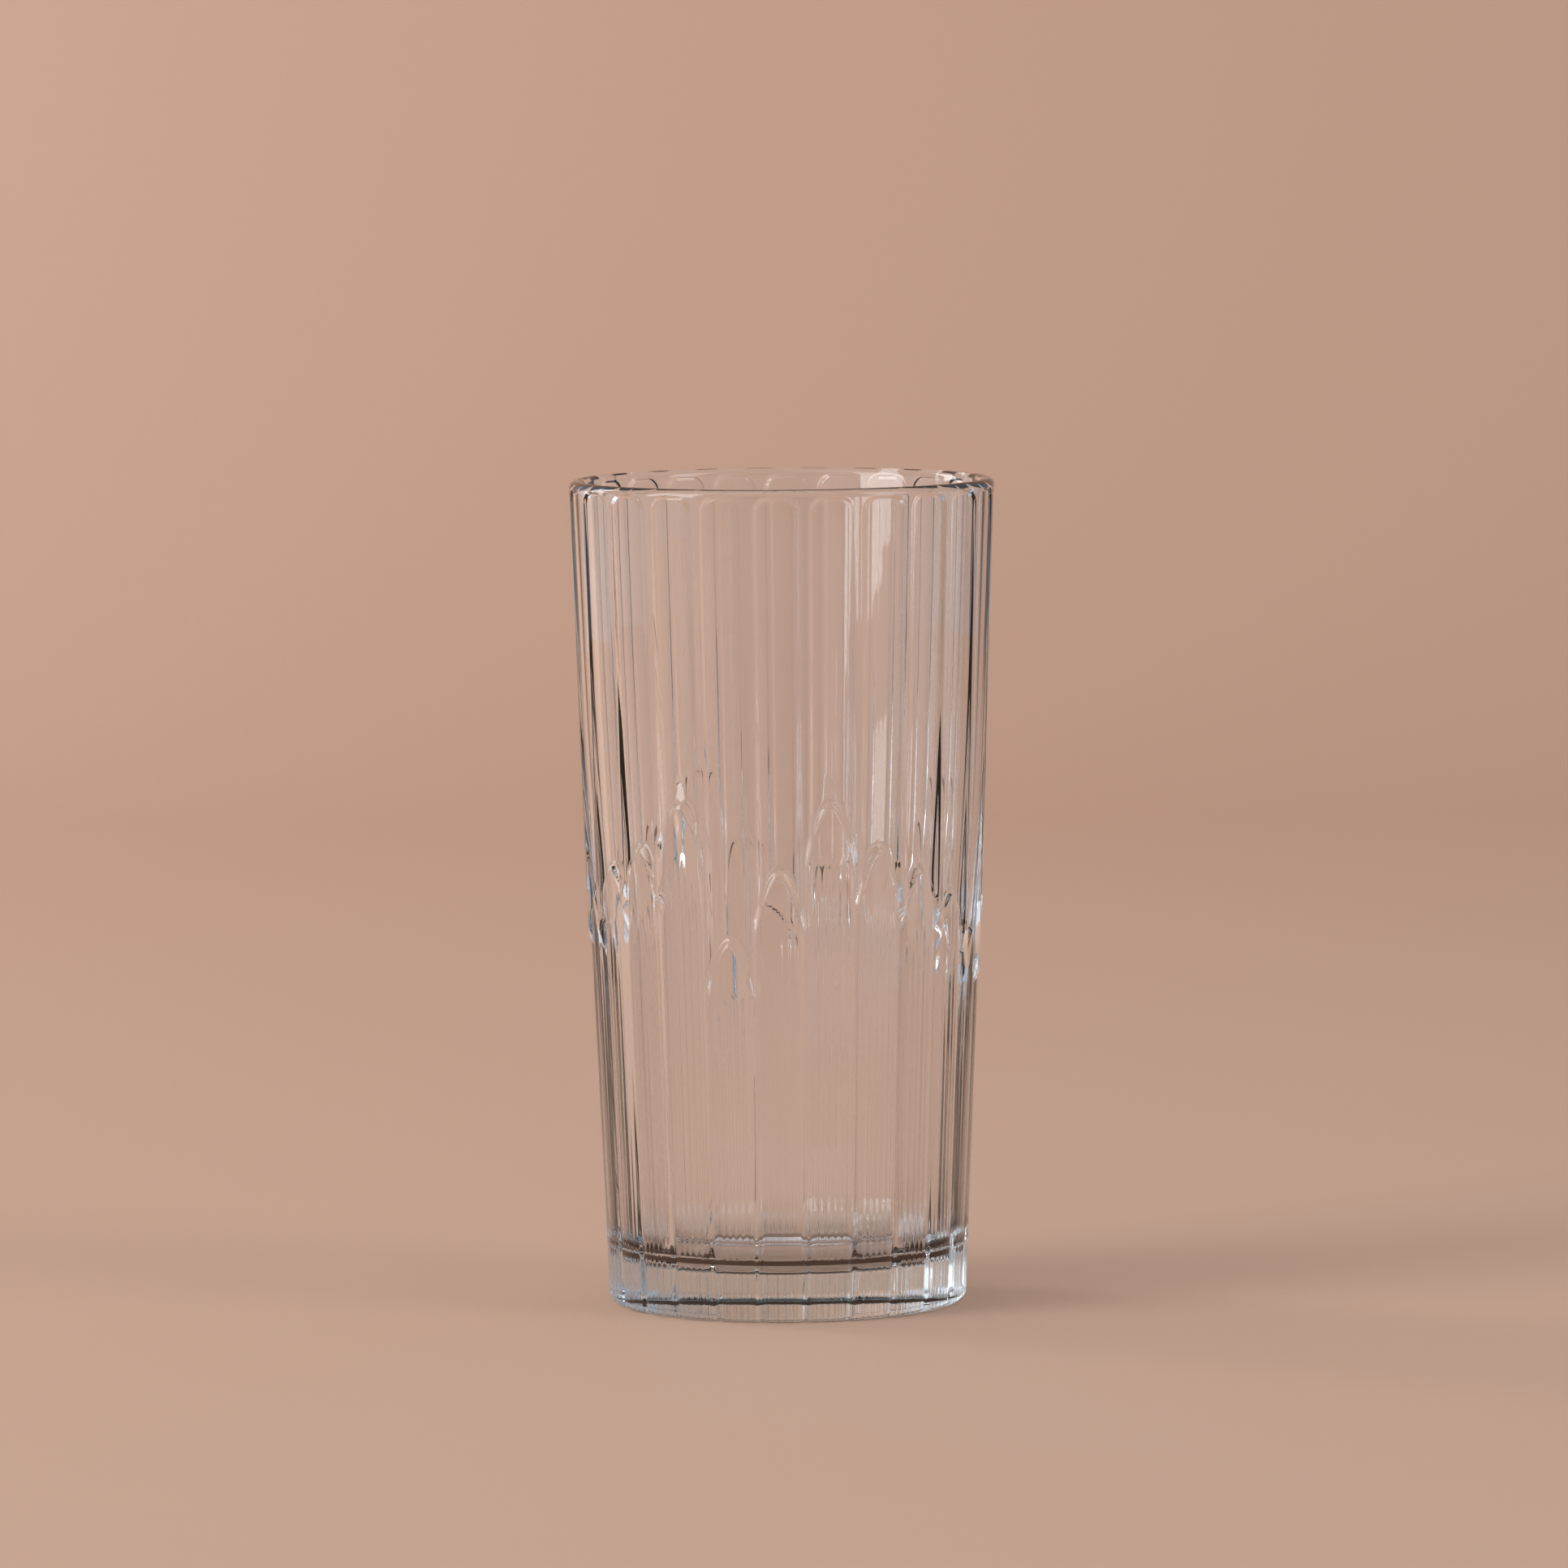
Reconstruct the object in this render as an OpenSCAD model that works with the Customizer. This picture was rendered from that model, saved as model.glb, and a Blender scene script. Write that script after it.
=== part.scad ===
// Tall pressed drinking glass, made in one piece of clear glass.
// Flat panels run down the outside from a plain round lip. Near half height each panel
// leans in and dives under a column with a round top, and the column tops stand at
// different levels, like a skyline. The base is solid and rests on a narrow ring.
// Sizes are in millimetres, +Z is up, and the origin is the centre of the resting plane.

/* [Overall] */
// Height from the resting plane to the top of the lip
glass_h = 136; // [115:1:160]
// Outside diameter at the lip
rim_d = 70; // [65:0.5:80]

/* [Upper panels] */
// Number of panels round the glass
panel_count = 24; // [16:1:30]
// Turn of the first panel away from the front, in degrees
panel_turn = -1.5; // [-7:0.5:7]
// Height of the plain lip above the panels
lip_h = 1.4; // [1.4:0.1:4]
// Radius of the corners at the top of a panel
panel_corner_r = 2.2; // [0.8:0.1:3]
// Height over which a panel leans in above its column
dip_h = 12; // [6:0.5:16]

/* [Columns] */
// Diameter of the columns at the resting plane
column_foot_d = 58.8; // [50:0.2:63]
// Depth of the columns behind the line of the upper body, at the resting plane
foot_set_in = 1.05; // [0.6:0.05:1.6]
// Amount by which the line of the columns stands proud of the rim, carried up to the lip
rim_proud = 0.2; // [0.05:0.05:0.5]
// Height of a column's round top, from its full width to its crown
arch_h = 9.5; // [6:0.5:14]
// Height by which a column's edge stands proud of the panel behind it
arch_step = 0.3; // [0.15:0.05:0.6]

/* [Inside] */
// Wall thickness at the lip
lip_t = 2.4; // [1.8:0.1:3.2]
// Wall thickness at the foot, from the columns to the wall's inner face carried down
foot_wall_t = 3.4; // [2.8:0.1:5]
// Thickness of the solid base at its centre
base_t = 7.3; // [5:0.1:16]
// Radius between the inner floor and the wall
floor_corner_r = 6.5; // [2:0.5:9]

/* [Foot] */
// Radius of the heel between the columns and the resting plane
heel_r = 1.6; // [1:0.1:4]
// Width of the flat ring that the glass rests on
ring_w = 4.8; // [2:0.1:7]
// Depth of the hollow under the base at its centre
punt_h = 1; // [0.4:0.1:2]

/* [Hidden] */
$fn = 96;

// Clear glass with a faint cool tint
glass_tint = [0.82, 0.87, 0.87, 0.45];

// Crown levels of the columns, as shares of the glass height, lowest first
level_shares = [0.460, 0.508, 0.543, 0.570, 0.625];
// Level of each panel's column, counted round the glass from the front to the right
panel_levels = [2, 4, 3, 2, 1, 0, 0, 2, 4, 3, 2, 1, 0, 2, 4, 3, 2, 1, 1, 1, 2, 3, 4, 0];

// Steps that make up a panel's lean and half of a column's round top
dip_steps = 6;
arch_steps = 7;
// Steps of a panel's round corner
corner_steps = 4;
// Overrun of a cut past the surface that it opens
cut_over = 1;
// Angle by which neighbouring cuts share their joint, in degrees
joint_lap = 0.02;
// Distance from the axis that lies outside the glass everywhere
clear_r = rim_d;

// Diameters of the upper body and of the wall's inner face at the foot, and of the columns at the lip
upper_foot_d = column_foot_d + 2 * foot_set_in;
column_rim_d = rim_d + 2 * rim_proud;
floor_d = column_foot_d - 2 * foot_wall_t;
// Diameter of the hollow under the base
punt_d = column_foot_d - 2 * (heel_r + ring_w);

lip_r = lip_t / 2;
lip_centre_r = rim_d / 2 - lip_r;
lip_centre_z = glass_h - lip_r;
half_turn = 180 / panel_count;
flat_share = cos(half_turn);

// Radius of the upper body over a joint between panels, at height z
function upper_r(z) = (upper_foot_d + (rim_d - upper_foot_d) * z / lip_centre_z) / 2;

// Radius of the columns over a joint between them, at height z
function column_r(z) = (column_foot_d + (column_rim_d - column_foot_d) * z / glass_h) / 2;

// Distance from the axis to the middle of a panel or of a column, at height z
function upper_flat(z) = upper_r(z) * flat_share;
function column_flat(z) = column_r(z) * flat_share;

// Height of the crown of column k
function crown_z(k) = glass_h * level_shares[panel_levels[k % len(panel_levels)]];

// Height at which panel k starts to lean in
function lean_z(k) = crown_z(k) + dip_h;

// Heights between which the columns' crowns lie, and where the upper body ends inside them
low_crown_z = glass_h * min(level_shares);
high_crown_z = glass_h * max(level_shares);
upper_end_z = low_crown_z - arch_h - dip_h;
column_end_z = high_crown_z + dip_h / 2;

// Places a cut on panel $k, with +X pointing out through the middle of the panel
module on_panel($k)
    rotate([0, 0, panel_turn + 2 * half_turn * $k - 90])
        children();

// Cuts the second child from the first on every panel. The cuts are made on every other
// panel and then on those between, so that no two of one round meet.
module cut_every_panel()
    difference() {
        difference() {
            children(0);
            for (k = [0:2:panel_count - 1])
                on_panel(k) children(1);
        }
        for (k = [1:2:panel_count - 1])
            on_panel(k) children(1);
    }

// The slice of the glass that belongs to one panel
module panel_slice() {
    reach = clear_r * tan(half_turn + joint_lap);
    translate([0, 0, -2 * cut_over])
        linear_extrude(height = glass_h + 4 * cut_over)
            polygon([[0, 0], [clear_r, reach], [clear_r, -reach]]);
}

// Extrudes an outline of distances from the axis and heights across a panel
module across_panel(outline)
    rotate([90, 0, 0])
        linear_extrude(height = clear_r, center = true)
            polygon(outline);

// Extrudes an outline drawn on the front of a panel from a start radius outwards
module through_panel(outline, start_r)
    translate([start_r, 0, 0])
        rotate([90, 0, 90])
            linear_extrude(height = clear_r - start_r)
                polygon(outline);

// Front of an upper panel, with round corners under the lip
function panel_front() =
    let (half_w = upper_r(glass_h) * tan(half_turn), top_z = glass_h - lip_h)
        concat(
            [[-half_w - cut_over, upper_end_z - cut_over], [half_w + cut_over, upper_end_z - cut_over]],
            [[half_w + cut_over, top_z - panel_corner_r]],
            [
                for (side = [1, -1], i = [0:corner_steps])
                    let (turn = 90 * (side > 0 ? i : corner_steps - i) / corner_steps)
                        [
                            side * (half_w - panel_corner_r * (1 - cos(turn))),
                            top_z - panel_corner_r * (1 - sin(turn))
                        ]
            ],
            [[-half_w - cut_over, top_z - panel_corner_r]]
        );

// Outline of what is cut from panel k: a flat that leans in at its lower end and then
// runs down behind the column
function panel_outline(k) =
    let (depth = upper_flat(crown_z(k)) - column_flat(crown_z(k)) + arch_step)
        concat(
            [[clear_r, glass_h], [upper_flat(glass_h), glass_h]],
            [
                for (i = [0:dip_steps])
                    let (share = i / dip_steps, z = lean_z(k) - dip_h * share)
                        [upper_flat(z) - depth * share * share, z]
            ],
            [[column_flat(0) - arch_step, 0], [clear_r, 0]]
        );

// Cut that leaves one upper panel
module panel_cut()
    intersection() {
        across_panel(panel_outline($k));
        through_panel(panel_front(), column_flat(0) / 2);
        panel_slice();
    }

// Cut that leaves the flat face of a column
module column_cut()
    intersection() {
        across_panel([
            [column_flat(-cut_over), -cut_over],
            [column_flat(glass_h), glass_h],
            [clear_r, glass_h],
            [clear_r, -cut_over]
        ]);
        panel_slice();
    }

// Space over the round top of a column
module arch_cut() {
    half_w = column_r(column_end_z) * tan(half_turn);
    crown = crown_z($k);
    foot = crown - arch_h;
    arch_points = [
        for (i = [-arch_steps:arch_steps])
            let (share = i / arch_steps)
                [half_w * share, crown - arch_h * share * share]
    ];
    intersection() {
        through_panel(
            concat(
                arch_points,
                [
                    [half_w + cut_over, foot],
                    [half_w + cut_over, column_end_z + cut_over],
                    [-half_w - cut_over, column_end_z + cut_over],
                    [-half_w - cut_over, foot]
                ]
            ),
            column_flat(foot) - arch_step - cut_over
        );
        panel_slice();
    }
}

// Upper body with its round lip and its panels
module upper_body()
    cut_every_panel() {
        rotate_extrude() {
            polygon([
                [0, upper_end_z],
                [upper_r(upper_end_z), upper_end_z],
                [rim_d / 2, lip_centre_z],
                [0, lip_centre_z]
            ]);
            translate([lip_centre_r, lip_centre_z])
                circle(r = lip_r);
        }
        panel_cut();
    }

// Round body under the columns' faces, on a rounded heel
module column_core() {
    lean = atan((column_rim_d - column_foot_d) / 2 / glass_h);
    heel_x = column_r(heel_r) - heel_r / cos(lean);
    rotate_extrude() {
        polygon([
            [0, 0],
            [heel_x, 0],
            [heel_x + heel_r * cos(lean), heel_r - heel_r * sin(lean)],
            [column_r(column_end_z), column_end_z],
            [0, column_end_z]
        ]);
        translate([heel_x, heel_r])
            circle(r = heel_r);
    }
}

// Lower body, one column under each panel
module column_body()
    cut_every_panel() {
        cut_every_panel() {
            column_core();
            column_cut();
        }
        arch_cut();
    }

// Space inside the glass, with a round corner at the floor
module cavity() {
    inner_rim_r = rim_d / 2 - lip_t;
    lean = atan((inner_rim_r - floor_d / 2) / (lip_centre_z - base_t));
    corner_z = base_t + floor_corner_r;
    corner_x = floor_d / 2 + floor_corner_r * tan(lean) - floor_corner_r / cos(lean);
    rotate_extrude() {
        polygon([
            [0, base_t],
            [corner_x, base_t],
            [corner_x + floor_corner_r * cos(lean), corner_z - floor_corner_r * sin(lean)],
            [inner_rim_r, lip_centre_z],
            [inner_rim_r, glass_h + cut_over],
            [0, glass_h + cut_over]
        ]);
        translate([corner_x, corner_z])
            circle(r = floor_corner_r);
    }
}

// Shallow hollow under the base, which leaves a ring to rest on
module punt() {
    cap_r = (pow(punt_d / 2, 2) + pow(punt_h, 2)) / (2 * punt_h);
    translate([0, 0, punt_h - cap_r])
        sphere(r = cap_r);
}

module tumbler()
    color(glass_tint)
        difference() {
            union() {
                upper_body();
                column_body();
            }
            cavity();
            punt();
        }

tumbler();
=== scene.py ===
"""A tall pressed drinking glass, standing on a pale seamless floor in soft studio light."""

import logging
import math
from dataclasses import dataclass, field
from enum import Enum

import bpy
from mathutils import Matrix, Vector


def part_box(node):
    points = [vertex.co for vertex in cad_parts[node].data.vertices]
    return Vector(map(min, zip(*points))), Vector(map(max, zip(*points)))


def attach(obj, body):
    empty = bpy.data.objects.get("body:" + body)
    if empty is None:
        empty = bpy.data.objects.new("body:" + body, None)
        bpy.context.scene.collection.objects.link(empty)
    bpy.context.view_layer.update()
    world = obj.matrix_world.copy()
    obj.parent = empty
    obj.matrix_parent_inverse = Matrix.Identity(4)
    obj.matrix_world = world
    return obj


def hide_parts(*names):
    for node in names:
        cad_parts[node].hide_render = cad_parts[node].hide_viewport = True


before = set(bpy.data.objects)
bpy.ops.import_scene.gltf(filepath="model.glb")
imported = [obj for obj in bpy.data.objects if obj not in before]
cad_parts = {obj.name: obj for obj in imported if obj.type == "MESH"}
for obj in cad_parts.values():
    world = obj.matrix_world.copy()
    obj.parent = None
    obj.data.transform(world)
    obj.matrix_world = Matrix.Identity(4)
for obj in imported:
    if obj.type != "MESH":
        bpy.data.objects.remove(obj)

logging.basicConfig(level=logging.INFO, format="%(message)s")
log = logging.getLogger("glass")

MM = 0.001
PHOTO_PIXELS = 1932
SOLID = "tumbler"
BODY = "root"
# Gap below which points of the finished mesh are welded, at the axis and at the seam
WELD_GAP = 0.001 * MM
# Height over which a panel's surface changes into the one hidden behind its column
HIDDEN_CHANGE_H = 0.02 * MM


class Maths(Enum):
    """The sums that a formula's nodes can do."""

    ADD = "ADD"
    SUBTRACT = "SUBTRACT"
    MULTIPLY = "MULTIPLY"
    DIVIDE = "DIVIDE"
    SQRT = "SQRT"
    SINE = "SINE"
    COSINE = "COSINE"
    ABSOLUTE = "ABSOLUTE"
    FLOOR = "FLOOR"
    MODULO = "FLOORED_MODULO"
    MINIMUM = "MINIMUM"
    MAXIMUM = "MAXIMUM"


class Side(Enum):
    """Which part of the section a point lies on."""

    OUTSIDE = 1.0
    INSIDE = 0.0


@dataclass(frozen=True)
class Formula:
    """A number that varies over a mesh or a material, made by nodes from ordinary arithmetic."""

    tree: bpy.types.NodeTree
    source: object

    def join(self, operation: Maths, *others: object) -> "Formula":
        """Adds the node of one sum.

        Args:
            operation: The sum to do.
            others: What it takes after this formula: formulas or plain numbers.

        Returns:
            The formula of the result.
        """
        node = self.tree.nodes.new("ShaderNodeMath")
        node.operation = operation.value
        for socket, value in zip(node.inputs, (self, *others), strict=False):
            if not isinstance(value, Formula):
                socket.default_value = float(value)
            elif isinstance(value.source, (int, float)):
                socket.default_value = float(value.source)
            else:
                self.tree.links.new(value.source, socket)
        return Formula(self.tree, node.outputs[0])

    def __add__(self, other: object) -> "Formula":
        """This plus the other."""
        return self.join(Maths.ADD, other)

    def __radd__(self, other: object) -> "Formula":
        """The other plus this."""
        return self.join(Maths.ADD, other)

    def __sub__(self, other: object) -> "Formula":
        """This less the other."""
        return self.join(Maths.SUBTRACT, other)

    def __rsub__(self, other: object) -> "Formula":
        """The other less this."""
        return Formula(self.tree, float(other)).join(Maths.SUBTRACT, self)

    def __mul__(self, other: object) -> "Formula":
        """This times the other."""
        return self.join(Maths.MULTIPLY, other)

    def __rmul__(self, other: object) -> "Formula":
        """The other times this."""
        return self.join(Maths.MULTIPLY, other)

    def __truediv__(self, other: object) -> "Formula":
        """This over the other."""
        return self.join(Maths.DIVIDE, other)

    def squared(self) -> "Formula":
        """This times itself."""
        return self.join(Maths.MULTIPLY, self)

    def clipped(self, low: float = 0.0, high: float = 1.0) -> "Formula":
        """This, held between two numbers."""
        return self.join(Maths.MAXIMUM, low).join(Maths.MINIMUM, high)

    def eased(self, width: object) -> "Formula":
        """Runs smoothly from 0 to 1 while this runs over a width centred on zero."""
        share = (self / width + 0.5).clipped()
        return share.squared() * (3.0 - 2.0 * share)

    def blend(self, other: "Formula", share: "Formula") -> "Formula":
        """This where share is 0, the other where it is 1."""
        return self + (other - self) * share


@dataclass(frozen=True)
class GlassSizes:
    """The real sizes of the glass, in metres, shares and degrees.

    The body, the lip, the crowns, the inside and the foot are as the solid has them. The
    panels' long lean, the columns' edges, the grooves, the V joints and the reeds are finer
    than the solid's, after the photograph.
    """

    height: float
    rim_r: float
    panels: int = 24
    turn_deg: float = -1.5
    upper_foot_r: float = 30.45 * MM
    lip_h: float = 1.4 * MM
    panel_corner_r: float = 2.2 * MM
    dip_h: float = 36.0 * MM
    column_foot_r: float = 29.4 * MM
    column_rim_r: float = 35.2 * MM
    arch_h: float = 9.5 * MM
    arch_step: float = 0.5 * MM
    lip_t: float = 2.4 * MM
    floor_r: float = 26.0 * MM
    base_t: float = 7.3 * MM
    floor_corner_r: float = 6.5 * MM
    heel_r: float = 1.6 * MM
    punt_r: float = 23.0 * MM
    punt_h: float = 1.0 * MM
    level_shares: tuple[float, ...] = (0.460, 0.508, 0.543, 0.570, 0.625)
    panel_levels: tuple[int, ...] = (
        2, 4, 3, 2, 1, 0, 0, 2, 4, 3, 2, 1, 0, 2, 4, 3, 2, 1, 1, 1, 2, 3, 4, 0,
    )
    reeds_per_panel: int = 7
    reed_depth: float = 0.12 * MM
    reed_border: float = 1.5 * MM
    reed_start: float = 14.0 * MM
    reed_fade: float = 1.2 * MM
    reed_joint_fade: float = 0.4 * MM
    edge_w: float = 0.9 * MM
    shoulder_w: float = 0.45 * MM
    panel_land: float = 1.0 * MM
    panel_recess: float = 0.11 * MM
    groove_depth: float = 0.45 * MM
    joint_depth: float = 0.42 * MM
    joint_w: float = 0.95 * MM
    deep_joint_share: float = 1.4
    column_full_share: float = 1.15
    column_full_fade: float = 4.0 * MM
    panel_steps: int = 28

    @property
    def half_turn(self) -> float:
        """Half the angle of a panel, in radians."""
        return math.pi / self.panels

    @property
    def lip_r(self) -> float:
        """Radius of the round lip's section."""
        return self.lip_t / 2

    @property
    def lip_z(self) -> float:
        """Height of the centre of the round lip's section."""
        return self.height - self.lip_r

    @property
    def inner_rim_r(self) -> float:
        """Inside radius at the lip."""
        return self.rim_r - self.lip_t

    def upper_r(self, z: float) -> float:
        """Radius of the upper body over a joint between panels, at height z."""
        return self.upper_foot_r + (self.rim_r - self.upper_foot_r) * z / self.lip_z

    def column_r(self, z: float) -> float:
        """Radius of the columns over a joint between them, at height z."""
        return self.column_foot_r + (self.column_rim_r - self.column_foot_r) * z / self.height

    def crown(self, panel: int) -> float:
        """Height of the crown of a panel's column."""
        level = self.panel_levels[panel % len(self.panel_levels)]
        return self.height * self.level_shares[level]

    def inputs(self) -> dict[str, float]:
        """Lists the sizes that the glass's node tree takes as named inputs.

        Returns:
            Each input's name with its value.
        """
        return {
            "Turn": math.radians(self.turn_deg),
            "Upper foot radius": self.upper_foot_r,
            "Column foot radius": self.column_foot_r,
            "Dip height": self.dip_h,
            "Arch height": self.arch_h,
            "Arch step": self.arch_step,
            "Edge width": self.edge_w,
            "Panel land": self.panel_land,
            "Panel recess": self.panel_recess,
            "Shoulder width": self.shoulder_w,
            "Groove depth": self.groove_depth,
            "Joint depth": self.joint_depth,
            "Joint width": self.joint_w,
            "Reed depth": self.reed_depth,
        }


@dataclass(frozen=True)
class SectionSteps:
    """How many steps each stretch of the section has, from under the base upwards."""

    punt: int = 5
    heel: int = 7
    columns: int = 8
    crowns: int = 60
    lean: int = 8
    panels: int = 5
    panel_tops: int = 9
    lip: int = 12
    wall: int = 9
    floor_corner: int = 9


@dataclass
class Section:
    """The outline of the glass cut in half: a chain of points that ends on the inner floor."""

    sizes: GlassSizes
    steps: SectionSteps = SectionSteps()
    punt_rounding: float = 0.3 * MM
    punt_edge_share: float = 0.12
    crown_margin: float = 0.5 * MM
    panel_top_margin: float = 0.25 * MM
    lip_start_deg: float = 12.0
    floor_shares: tuple[float, ...] = (0.6, 0.0)
    points: list[tuple[float, float, Side]] = field(default_factory=list)

    def arc(
        self,
        centre: tuple[float, float],
        radius: float,
        start: float,
        end: float,
        steps: int,
        side: Side,
    ) -> None:
        """Adds points along an arc.

        Args:
            centre: Distance from the axis and height of the arc's centre.
            radius: Radius of the arc.
            start: Angle of its first point from the outward direction, in degrees.
            end: Angle of its last point.
            steps: How many steps it has.
            side: The side of the section that it is on.
        """
        for i in range(steps + 1):
            turn = math.radians(start + (end - start) * i / steps)
            r = centre[0] + radius * math.cos(turn)
            z = centre[1] + radius * math.sin(turn)
            self.points.append((r, z, side))

    def rise(self, start: float, end: float, steps: int) -> None:
        """Adds points up the outside wall, without its first height.

        Args:
            start: Height where this stretch starts.
            end: Height where it ends.
            steps: How many steps it has.
        """
        s = self.sizes
        for i in range(1, steps + 1):
            z = start + (end - start) * i / steps
            self.points.append((s.upper_r(z), z, Side.OUTSIDE))

    def build(self) -> bpy.types.Object:
        """Makes the section.

        Returns:
            A mesh object of the chain of points, with each point's side as an attribute.
        """
        s = self.sizes
        steps = self.steps
        cap_r = (s.punt_r**2 + s.punt_h**2) / (2 * s.punt_h)
        for i in range(steps.punt + 1):
            r = s.punt_r * i / steps.punt
            self.points.append((r, s.punt_h - cap_r + math.sqrt(cap_r**2 - r**2), Side.INSIDE))
        lean = math.atan((s.column_rim_r - s.column_foot_r) / s.height)
        heel_x = s.column_r(s.heel_r) - s.heel_r / math.cos(lean)
        edge_z = self.points[-2][1] * self.punt_edge_share
        self.points[-1] = (s.punt_r - self.punt_rounding, edge_z, Side.INSIDE)
        self.points.append((s.punt_r + self.punt_rounding, 0.0, Side.INSIDE))
        self.points.append(((s.punt_r + heel_x) / 2, 0.0, Side.INSIDE))
        heel_end = -math.degrees(lean)
        self.arc((heel_x, s.heel_r), s.heel_r, -90, heel_end, steps.heel, Side.OUTSIDE)
        low = min(s.crown(k) for k in range(s.panels)) - s.arch_h
        high = max(s.crown(k) for k in range(s.panels))
        corner_z = s.height - s.lip_h - s.panel_corner_r
        self.rise(s.heel_r, low, steps.columns)
        self.rise(low, high + self.crown_margin, steps.crowns)
        self.rise(high + self.crown_margin, high + s.dip_h, steps.lean)
        self.rise(high + s.dip_h, corner_z, steps.panels)
        self.rise(corner_z, s.height - s.lip_h + self.panel_top_margin, steps.panel_tops)
        lip_centre = (s.rim_r - s.lip_r, s.lip_z)
        self.arc(lip_centre, s.lip_r, self.lip_start_deg, 180, steps.lip, Side.INSIDE)
        inner_lean = math.atan((s.inner_rim_r - s.floor_r) / (s.lip_z - s.base_t))
        corner_r = s.floor_corner_r
        corner_x = s.floor_r + corner_r * math.tan(inner_lean) - corner_r / math.cos(inner_lean)
        floor_z = s.base_t + corner_r
        tangent = (
            corner_x + corner_r * math.cos(inner_lean),
            floor_z - corner_r * math.sin(inner_lean),
        )
        for i in range(1, steps.wall):
            share = i / steps.wall
            self.points.append((
                s.inner_rim_r + (tangent[0] - s.inner_rim_r) * share,
                s.lip_z + (tangent[1] - s.lip_z) * share,
                Side.INSIDE,
            ))
        corner_start = -math.degrees(inner_lean)
        self.arc(
            (corner_x, floor_z), corner_r, corner_start, -90, steps.floor_corner, Side.INSIDE
        )
        for share in self.floor_shares:
            self.points.append((corner_x * share, s.base_t, Side.INSIDE))
        mesh = bpy.data.meshes.new("section")
        places = [(r, 0.0, z) for r, z, _ in self.points]
        mesh.from_pydata(places, [(i, i + 1) for i in range(len(places) - 1)], [])
        sides = mesh.attributes.new("outside", "FLOAT", "POINT")
        sides.data.foreach_set("value", [side.value for _, _, side in self.points])
        section = bpy.data.objects.new("section", mesh)
        bpy.context.scene.collection.objects.link(section)
        return section


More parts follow.
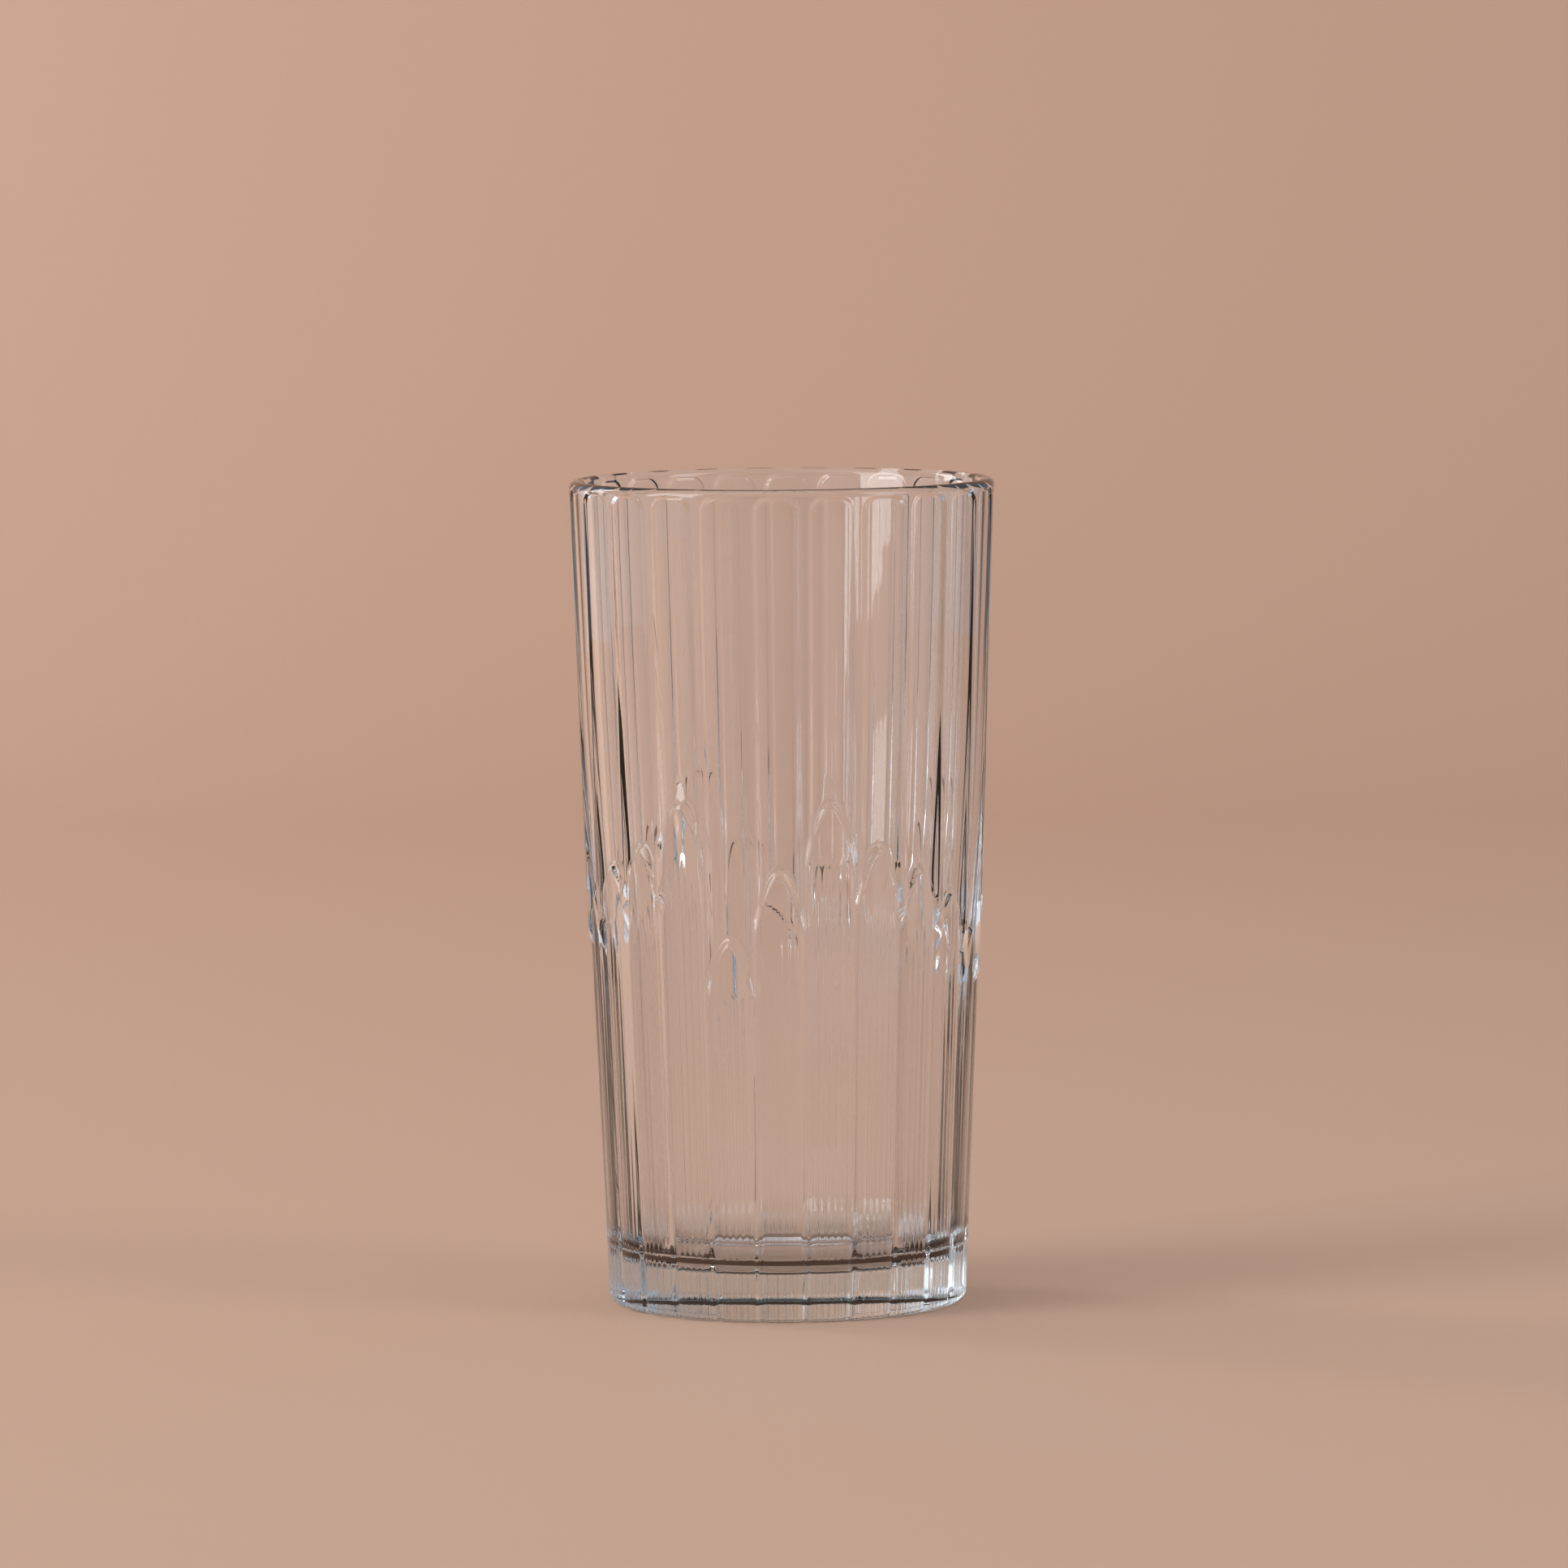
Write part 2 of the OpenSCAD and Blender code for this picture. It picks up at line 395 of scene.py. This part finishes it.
@dataclass
class PressedGlass:
    """The glass itself: its section turned round the axis and cut into panels and columns."""

    sizes: GlassSizes

    def tree(self, rows: int, finish: bpy.types.Material) -> bpy.types.NodeTree:
        """Builds the node tree that turns the section into the glass.

        Args:
            rows: How many points the section has.
            finish: The material of the glass.

        Returns:
            The tree, with a named input for each size that its rule uses.
        """
        s = self.sizes
        tree = bpy.data.node_groups.new("pressed glass", "GeometryNodeTree")
        tree.interface.new_socket("Section", in_out="INPUT", socket_type="NodeSocketGeometry")
        tree.interface.new_socket("Glass", in_out="OUTPUT", socket_type="NodeSocketGeometry")
        names = tuple(s.inputs())
        for name in names:
            tree.interface.new_socket(name, in_out="INPUT", socket_type="NodeSocketFloat")
        start = tree.nodes.new("NodeGroupInput")
        end = tree.nodes.new("NodeGroupOutput")
        size = {name: Formula(tree, start.outputs[name]) for name in names}

        grid = tree.nodes.new("GeometryNodeMeshGrid")
        grid.inputs["Size X"].default_value = 1.0
        grid.inputs["Size Y"].default_value = 1.0
        grid.inputs["Vertices X"].default_value = s.panels * s.panel_steps + 1
        grid.inputs["Vertices Y"].default_value = rows

        place = tree.nodes.new("GeometryNodeInputPosition")
        split = tree.nodes.new("ShaderNodeSeparateXYZ")
        tree.links.new(place.outputs[0], split.inputs[0])
        across = Formula(tree, split.outputs[0]) + 0.5
        row = ((Formula(tree, split.outputs[1]) + 0.5) * (rows - 1) + 0.5).join(Maths.FLOOR)

        def sampled(kind: str, what: bpy.types.NodeSocket) -> bpy.types.NodeSocket:
            """Reads a value of the section at this row.

            Args:
                kind: The value's type.
                what: The socket that gives it.

            Returns:
                The socket of the value that was read.
            """
            node = tree.nodes.new("GeometryNodeSampleIndex")
            node.data_type = kind
            tree.links.new(start.outputs["Section"], node.inputs["Geometry"])
            tree.links.new(what, node.inputs["Value"])
            tree.links.new(row.source, node.inputs["Index"])
            return node.outputs[0]

        section_place = tree.nodes.new("GeometryNodeInputPosition")
        section_split = tree.nodes.new("ShaderNodeSeparateXYZ")
        tree.links.new(sampled("FLOAT_VECTOR", section_place.outputs[0]), section_split.inputs[0])
        section_r = Formula(tree, section_split.outputs[0])
        z = Formula(tree, section_split.outputs[2])
        named = tree.nodes.new("GeometryNodeInputNamedAttribute")
        named.data_type = "FLOAT"
        named.inputs["Name"].default_value = "outside"
        outside = Formula(tree, sampled("FLOAT", named.outputs["Attribute"]))

        angle = across * (2 * math.pi)
        panel_turn = (angle - size["Turn"]) / (2 * s.half_turn) + 0.5
        panel = panel_turn.join(Maths.FLOOR)
        off = (panel_turn - panel - 0.5) * (2 * s.half_turn)
        crown = self.crown(tree, panel.join(Maths.MODULO, s.panels))

        radius = section_r.blend(self.outside(size, section_r, z, off, crown), outside)
        joined = tree.nodes.new("ShaderNodeCombineXYZ")
        tree.links.new((radius * angle.join(Maths.SINE)).source, joined.inputs[0])
        tree.links.new((radius * angle.join(Maths.COSINE) * -1.0).source, joined.inputs[1])
        tree.links.new(z.source, joined.inputs[2])

        move = tree.nodes.new("GeometryNodeSetPosition")
        tree.links.new(grid.outputs["Mesh"], move.inputs["Geometry"])
        tree.links.new(joined.outputs[0], move.inputs["Position"])
        weld = tree.nodes.new("GeometryNodeMergeByDistance")
        weld.inputs["Distance"].default_value = WELD_GAP
        smooth = tree.nodes.new("GeometryNodeSetShadeSmooth")
        real = tree.nodes.new("GeometryNodeRealizeInstances")
        dress = tree.nodes.new("GeometryNodeSetMaterial")
        dress.inputs["Material"].default_value = finish
        chain = [move, weld, smooth, real, dress]
        for first, second in zip(chain, chain[1:], strict=False):
            tree.links.new(first.outputs[0], second.inputs[0])
        tree.links.new(dress.outputs[0], end.inputs[0])
        return tree

    def crown(self, tree: bpy.types.NodeTree, panel: Formula) -> Formula:
        """Picks the height of the crown of a panel's column.

        Args:
            tree: The tree to build in.
            panel: The panel's number, from 0.

        Returns:
            The crown's height.
        """
        s = self.sizes
        pick = tree.nodes.new("GeometryNodeIndexSwitch")
        pick.data_type = "FLOAT"
        while len(pick.index_switch_items) < s.panels:
            pick.index_switch_items.new()
        tree.links.new(panel.source, pick.inputs[0])
        for k in range(s.panels):
            pick.inputs[k + 1].default_value = s.crown(k)
        return Formula(tree, pick.outputs[0])

    def outside(
        self,
        size: dict[str, Formula],
        section_r: Formula,
        z: Formula,
        off: Formula,
        crown: Formula,
    ) -> Formula:
        """Works out the outside surface's distance from the axis.

        Args:
            size: The tree's named sizes.
            section_r: The plain section's distance from the axis at this height.
            z: Height.
            off: Angle from the middle of the panel.
            crown: Height of the crown of the panel's column.

        Returns:
            The distance from the axis.
        """
        s = self.sizes
        flat = math.cos(s.half_turn)
        bend = off.join(Maths.COSINE)
        upper_slope = (s.rim_r - s.upper_foot_r) / s.lip_z
        column_slope = (s.column_rim_r - s.column_foot_r) / s.height
        upper_flat = (size["Upper foot radius"] + z * upper_slope) * flat
        column_flat = (size["Column foot radius"] + z * column_slope) * flat
        crown_upper = (size["Upper foot radius"] + crown * upper_slope) * flat
        crown_column = (size["Column foot radius"] + crown * column_slope) * flat
        width = column_flat * off.join(Maths.SINE) / bend
        half_width = column_flat * math.tan(s.half_turn)

        lean = ((crown + size["Dip height"] - z) / size["Dip height"]).clipped()
        depth = crown_upper - crown_column + size["Arch step"]
        behind = column_flat - size["Arch step"]
        dipped = upper_flat - depth * lean.squared()
        panel_r = dipped.blend(behind, (crown - z).eased(HIDDEN_CHANGE_H)) / bend
        panel_r = panel_r - size["Panel recess"]
        half_front = upper_flat * math.tan(s.half_turn) - size["Panel land"]
        reach = (upper_flat * off.join(Maths.SINE) / bend).join(Maths.ABSOLUTE)
        corner_z = s.height - s.lip_h - s.panel_corner_r
        over_x = (reach - half_front + s.panel_corner_r).join(Maths.MAXIMUM, 0.0)
        over_z = (z - corner_z).join(Maths.MAXIMUM, 0.0)
        out = (over_x.squared() + over_z.squared()).join(Maths.SQRT) - s.panel_corner_r
        panel_r = section_r.blend(panel_r, (out * -1.0).eased(size["Shoulder width"]))

        share = width / half_width
        fall = size["Arch height"] * share.squared()
        steep = ((2.0 * size["Arch height"] * share / half_width).squared() + 1.0).join(Maths.SQRT)
        inset = (crown - z - fall) / steep
        below_arch = crown - z - size["Arch height"] * s.column_full_share
        low = below_arch.eased(s.column_full_fade)
        within = inset.eased(size["Edge width"])
        column_mask = within + (1.0 - within) * low
        reed_turn = off * (s.reeds_per_panel * math.pi / 2 / s.half_turn)
        rib = reed_turn.join(Maths.COSINE).join(Maths.ABSOLUTE)
        crowned = (size["Column foot radius"] + z * column_slope).join(Maths.MINIMUM, section_r)
        reeded = (inset - s.reed_border).eased(s.reed_fade)
        reeded = reeded * (crown - z - s.reed_start).eased(s.reed_start)
        to_joint = half_width - width.join(Maths.ABSOLUTE)
        reeded = reeded * (to_joint - s.joint_w).eased(s.reed_joint_fade)
        joint = 1.0 - (to_joint / size["Joint width"]).clipped()
        joint = joint * (1.0 + (s.base_t * s.deep_joint_share - z).eased(s.base_t))
        column_r = crowned - size["Groove depth"] * share.squared() - size["Joint depth"] * joint
        column_r = column_r - size["Reed depth"] * reeded * (1.0 - rib)
        return panel_r.blend(column_r, column_mask).join(Maths.MINIMUM, section_r)

    def build(self, finish: bpy.types.Material) -> bpy.types.Object:
        """Makes the glass as one plain mesh.

        Args:
            finish: The material of the glass.

        Returns:
            The finished object.
        """
        s = self.sizes
        section = Section(s).build()
        tree = self.tree(len(section.data.vertices), finish)
        modifier = section.modifiers.new("pressed glass", "NODES")
        modifier.node_group = tree
        values = s.inputs()
        for item in tree.interface.items_tree:
            if item.in_out == "INPUT" and item.name in values:
                modifier[item.identifier] = values[item.name]
        bpy.context.view_layer.update()
        ready = section.evaluated_get(bpy.context.evaluated_depsgraph_get())
        mesh = bpy.data.meshes.new_from_object(ready)
        mesh.name = "pressed_glass"
        section.modifiers.clear()
        bpy.data.objects.remove(section)
        glass = bpy.data.objects.new("pressed_glass", mesh)
        bpy.context.scene.collection.objects.link(glass)
        log.info("pressed_glass: %d faces", len(mesh.polygons))
        return glass


@dataclass(frozen=True)
class ClearGlass:
    """Clear soda-lime glass with a faint cool tint in its thick parts.

    Shadow rays are let through by a share, so that the glass's shadow stays light: the render
    doesn't focus the light that real glass passes on into its shadow.
    """

    colour: tuple[float, float, float] = (1.0, 1.0, 1.0)
    index: float = 1.52
    tint: tuple[float, float, float] = (0.60, 0.74, 0.78)
    tint_density: float = 11.0
    shadow_share: float = 0.6
    wave_scale: float = 90.0
    wave_detail: float = 1.0
    wave_h: float = 0.4 * MM
    wave_strength: float = 0.06
    smudge_scale: float = 180.0
    smudge_detail: float = 4.0
    smudge_start: float = 0.35
    smudge_end: float = 0.75
    smudge_roughness: float = 0.035

    def build(self) -> bpy.types.Material:
        """Makes the material.

        Returns:
            The glass, with the slow waves that pressing leaves in its surface and faint smudges.
        """
        material = bpy.data.materials.new("clear pressed glass")
        material.use_nodes = True
        tree = material.node_tree
        tree.nodes.clear()
        out = tree.nodes.new("ShaderNodeOutputMaterial")
        shader = tree.nodes.new("ShaderNodeBsdfPrincipled")
        shader.inputs["Base Color"].default_value = (*self.colour, 1.0)
        shader.inputs["IOR"].default_value = self.index
        shader.inputs["Transmission Weight"].default_value = 1.0
        place = tree.nodes.new("ShaderNodeTexCoord")
        smudge = tree.nodes.new("ShaderNodeTexNoise")
        smudge.inputs["Scale"].default_value = self.smudge_scale
        smudge.inputs["Detail"].default_value = self.smudge_detail
        tree.links.new(place.outputs["Object"], smudge.inputs["Vector"])
        rough = tree.nodes.new("ShaderNodeMapRange")
        rough.inputs["From Min"].default_value = self.smudge_start
        rough.inputs["From Max"].default_value = self.smudge_end
        rough.inputs["To Min"].default_value = 0.0
        rough.inputs["To Max"].default_value = self.smudge_roughness
        tree.links.new(smudge.outputs[0], rough.inputs["Value"])
        tree.links.new(rough.outputs[0], shader.inputs["Roughness"])
        waves = tree.nodes.new("ShaderNodeTexNoise")
        waves.inputs["Scale"].default_value = self.wave_scale
        waves.inputs["Detail"].default_value = self.wave_detail
        tree.links.new(place.outputs["Object"], waves.inputs["Vector"])
        bump = tree.nodes.new("ShaderNodeBump")
        bump.inputs["Strength"].default_value = self.wave_strength
        bump.inputs["Distance"].default_value = self.wave_h
        tree.links.new(waves.outputs[0], bump.inputs["Height"])
        tree.links.new(bump.outputs[0], shader.inputs["Normal"])
        path = tree.nodes.new("ShaderNodeLightPath")
        shadow = 1.0 - Formula(tree, path.outputs["Is Shadow Ray"]) * (1.0 - self.shadow_share)
        tree.links.new(shadow.source, shader.inputs["Alpha"])
        body = tree.nodes.new("ShaderNodeVolumeAbsorption")
        body.inputs["Color"].default_value = (*self.tint, 1.0)
        body.inputs["Density"].default_value = self.tint_density
        tree.links.new(shader.outputs[0], out.inputs["Surface"])
        tree.links.new(body.outputs[0], out.inputs["Volume"])
        return material


@dataclass(frozen=True)
class PaperFloor:
    """The pale seamless paper that the glass stands on."""

    colour: tuple[float, float, float] = (0.61, 0.378, 0.262)
    depth: float = 0.9
    floor_w: float = 2.0
    wall_w: float = 1.5
    front: float = 2.2
    wall: float = 2.0
    bend_r: float = 0.5
    bend_steps: int = 24
    taper_start: float = 0.45
    roughness: float = 0.9
    shine: float = 0.2

    def build(self) -> bpy.types.Object:
        """Makes the floor, its bend and the backdrop as one sheet.

        Returns:
            The sheet.
        """
        outline = [
            (-self.front, 0.0, self.floor_w),
            (self.taper_start, 0.0, self.floor_w),
            (self.depth, 0.0, self.wall_w),
        ]
        for i in range(1, self.bend_steps + 1):
            turn = math.pi / 2 * i / self.bend_steps
            y = self.depth + self.bend_r * math.sin(turn)
            outline.append((y, self.bend_r * (1 - math.cos(turn)), self.wall_w))
        outline.append((self.depth + self.bend_r, self.wall, self.wall_w))
        mesh = bpy.data.meshes.new("paper")
        places = [(side * width / 2, y, z) for y, z, width in outline for side in (-1, 1)]
        faces = [(2 * i, 2 * i + 1, 2 * i + 3, 2 * i + 2) for i in range(len(outline) - 1)]
        mesh.from_pydata(places, [], faces)
        mesh.polygons.foreach_set("use_smooth", [True] * len(mesh.polygons))
        material = bpy.data.materials.new("pale paper")
        material.use_nodes = True
        shader = material.node_tree.nodes["Principled BSDF"]
        shader.inputs["Base Color"].default_value = (*self.colour, 1.0)
        shader.inputs["Roughness"].default_value = self.roughness
        shader.inputs["Specular IOR Level"].default_value = self.shine
        mesh.materials.append(material)
        paper = bpy.data.objects.new("paper", mesh)
        bpy.context.scene.collection.objects.link(paper)
        return paper


@dataclass(frozen=True)
class SoftLamp:
    """One large soft lamp."""

    name: str
    place: tuple[float, float, float]
    width: float
    height: float
    power: float
    colour: tuple[float, float, float]
    aim: tuple[float, float, float] = (0.0, 0.0, 0.07)

    def build(self) -> bpy.types.Object:
        """Makes the lamp, turned towards what it lights.

        Returns:
            The lamp.
        """
        data = bpy.data.lights.new(self.name, "AREA")
        data.shape = "RECTANGLE"
        data.size = self.width
        data.size_y = self.height
        data.energy = self.power
        data.color = self.colour
        lamp = bpy.data.objects.new(self.name, data)
        lamp.location = self.place
        beam = Vector(self.aim) - Vector(self.place)
        lamp.rotation_euler = beam.to_track_quat("-Z", "Y").to_euler()
        bpy.context.scene.collection.objects.link(lamp)
        return lamp


DAYLIGHT = (0.92, 0.96, 1.0)

LAMPS = (
    SoftLamp(
        "key",
        place=(-0.7, -0.5, 1.5),
        width=1.2,
        height=1.2,
        power=3.0,
        colour=(1.0, 0.97, 0.94),
    ),
    SoftLamp(
        "tall window",
        place=(-1.16, -0.60, 0.66),
        width=0.68,
        height=1.08,
        power=11.0,
        colour=DAYLIGHT,
        aim=(0.0, 0.0, 0.66),
    ),
    SoftLamp(
        "back window",
        place=(-1.20, 0.75, 0.60),
        width=0.50,
        height=0.90,
        power=7.5,
        colour=DAYLIGHT,
        aim=(0.2, 1.3, 0.25),
    ),
    SoftLamp(
        "right window",
        place=(1.05, -0.55, 0.75),
        width=0.45,
        height=0.90,
        power=3.5,
        colour=(0.80, 0.89, 1.0),
    ),
)


@dataclass(frozen=True)
class Studio:
    """The camera, the lamps and the room's own light."""

    distance: float = 1.64
    eye_height: float = 0.225
    aim_height: float = 0.0856
    pixels_per_mm: float = 7.478
    roll_deg: float = 0.45
    sensor: float = 36.0
    clip_start: float = 0.05
    wall: tuple[float, float, float] = (0.35, 0.42, 0.51)
    lit_wall: tuple[float, float, float] = (0.82, 0.88, 0.98)
    ceiling: tuple[float, float, float] = (0.50, 0.54, 0.60)
    change_at: float = 0.45
    change_w: float = 0.6

    def camera(self) -> None:
        """Places the camera where the photograph was taken from."""
        data = bpy.data.cameras.new("camera")
        data.sensor_width = self.sensor
        eye = Vector((0.0, -self.distance, self.eye_height))
        aim = Vector((0.0, 0.0, self.aim_height))
        reach = (aim - eye).length
        data.lens = self.pixels_per_mm * reach / MM / PHOTO_PIXELS * self.sensor
        data.clip_start = self.clip_start
        camera = bpy.data.objects.new("camera", data)
        turn = (aim - eye).to_track_quat("-Z", "Y").to_matrix()
        roll = Matrix.Rotation(math.radians(-self.roll_deg), 3, "Z")
        camera.matrix_world = Matrix.Translation(eye) @ (turn @ roll).to_4x4()
        bpy.context.scene.collection.objects.link(camera)
        bpy.context.scene.camera = camera

    def lamps(self) -> None:
        """Sets the key overhead, two windows on the left and a weaker one on the right."""
        for lamp in LAMPS:
            lamp.build()

    def room_light(self) -> None:
        """Gives the room its grey-blue walls, the lit one on the left and its pale ceiling."""
        world = bpy.data.worlds.new("room")
        world.use_nodes = True
        tree = world.node_tree
        direction = tree.nodes.new("ShaderNodeTexCoord")
        split = tree.nodes.new("ShaderNodeSeparateXYZ")
        tree.links.new(direction.outputs["Generated"], split.inputs[0])
        to_left = (Formula(tree, split.outputs[0]) * -1.0 - self.change_at).eased(self.change_w)
        upwards = (Formula(tree, split.outputs[2]) - self.change_at).eased(self.change_w)
        join = tree.nodes.new("ShaderNodeCombineXYZ")
        tones = zip(self.wall, self.lit_wall, self.ceiling, strict=True)
        for i, (wall, lit, ceiling) in enumerate(tones):
            side = to_left * (lit - wall) + wall
            tree.links.new((side + (ceiling - side) * upwards).source, join.inputs[i])
        tree.links.new(join.outputs[0], tree.nodes["Background"].inputs["Color"])
        bpy.context.scene.world = world

    def build(self) -> None:
        """Sets up everything round the glass."""
        self.camera()
        self.lamps()
        self.room_light()
        bpy.context.scene.view_settings.view_transform = "Standard"


def main() -> None:
    """Builds the studio and the glass, and reports the glass's face count."""
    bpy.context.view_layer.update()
    low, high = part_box(SOLID)
    sizes = GlassSizes(height=high.z - low.z, rim_r=(high.x - low.x) / 2)
    Studio().build()
    PaperFloor().build()
    glass = PressedGlass(sizes).build(ClearGlass().build())
    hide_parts(SOLID)
    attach(glass, BODY)


if __name__ == "__main__":
    main()
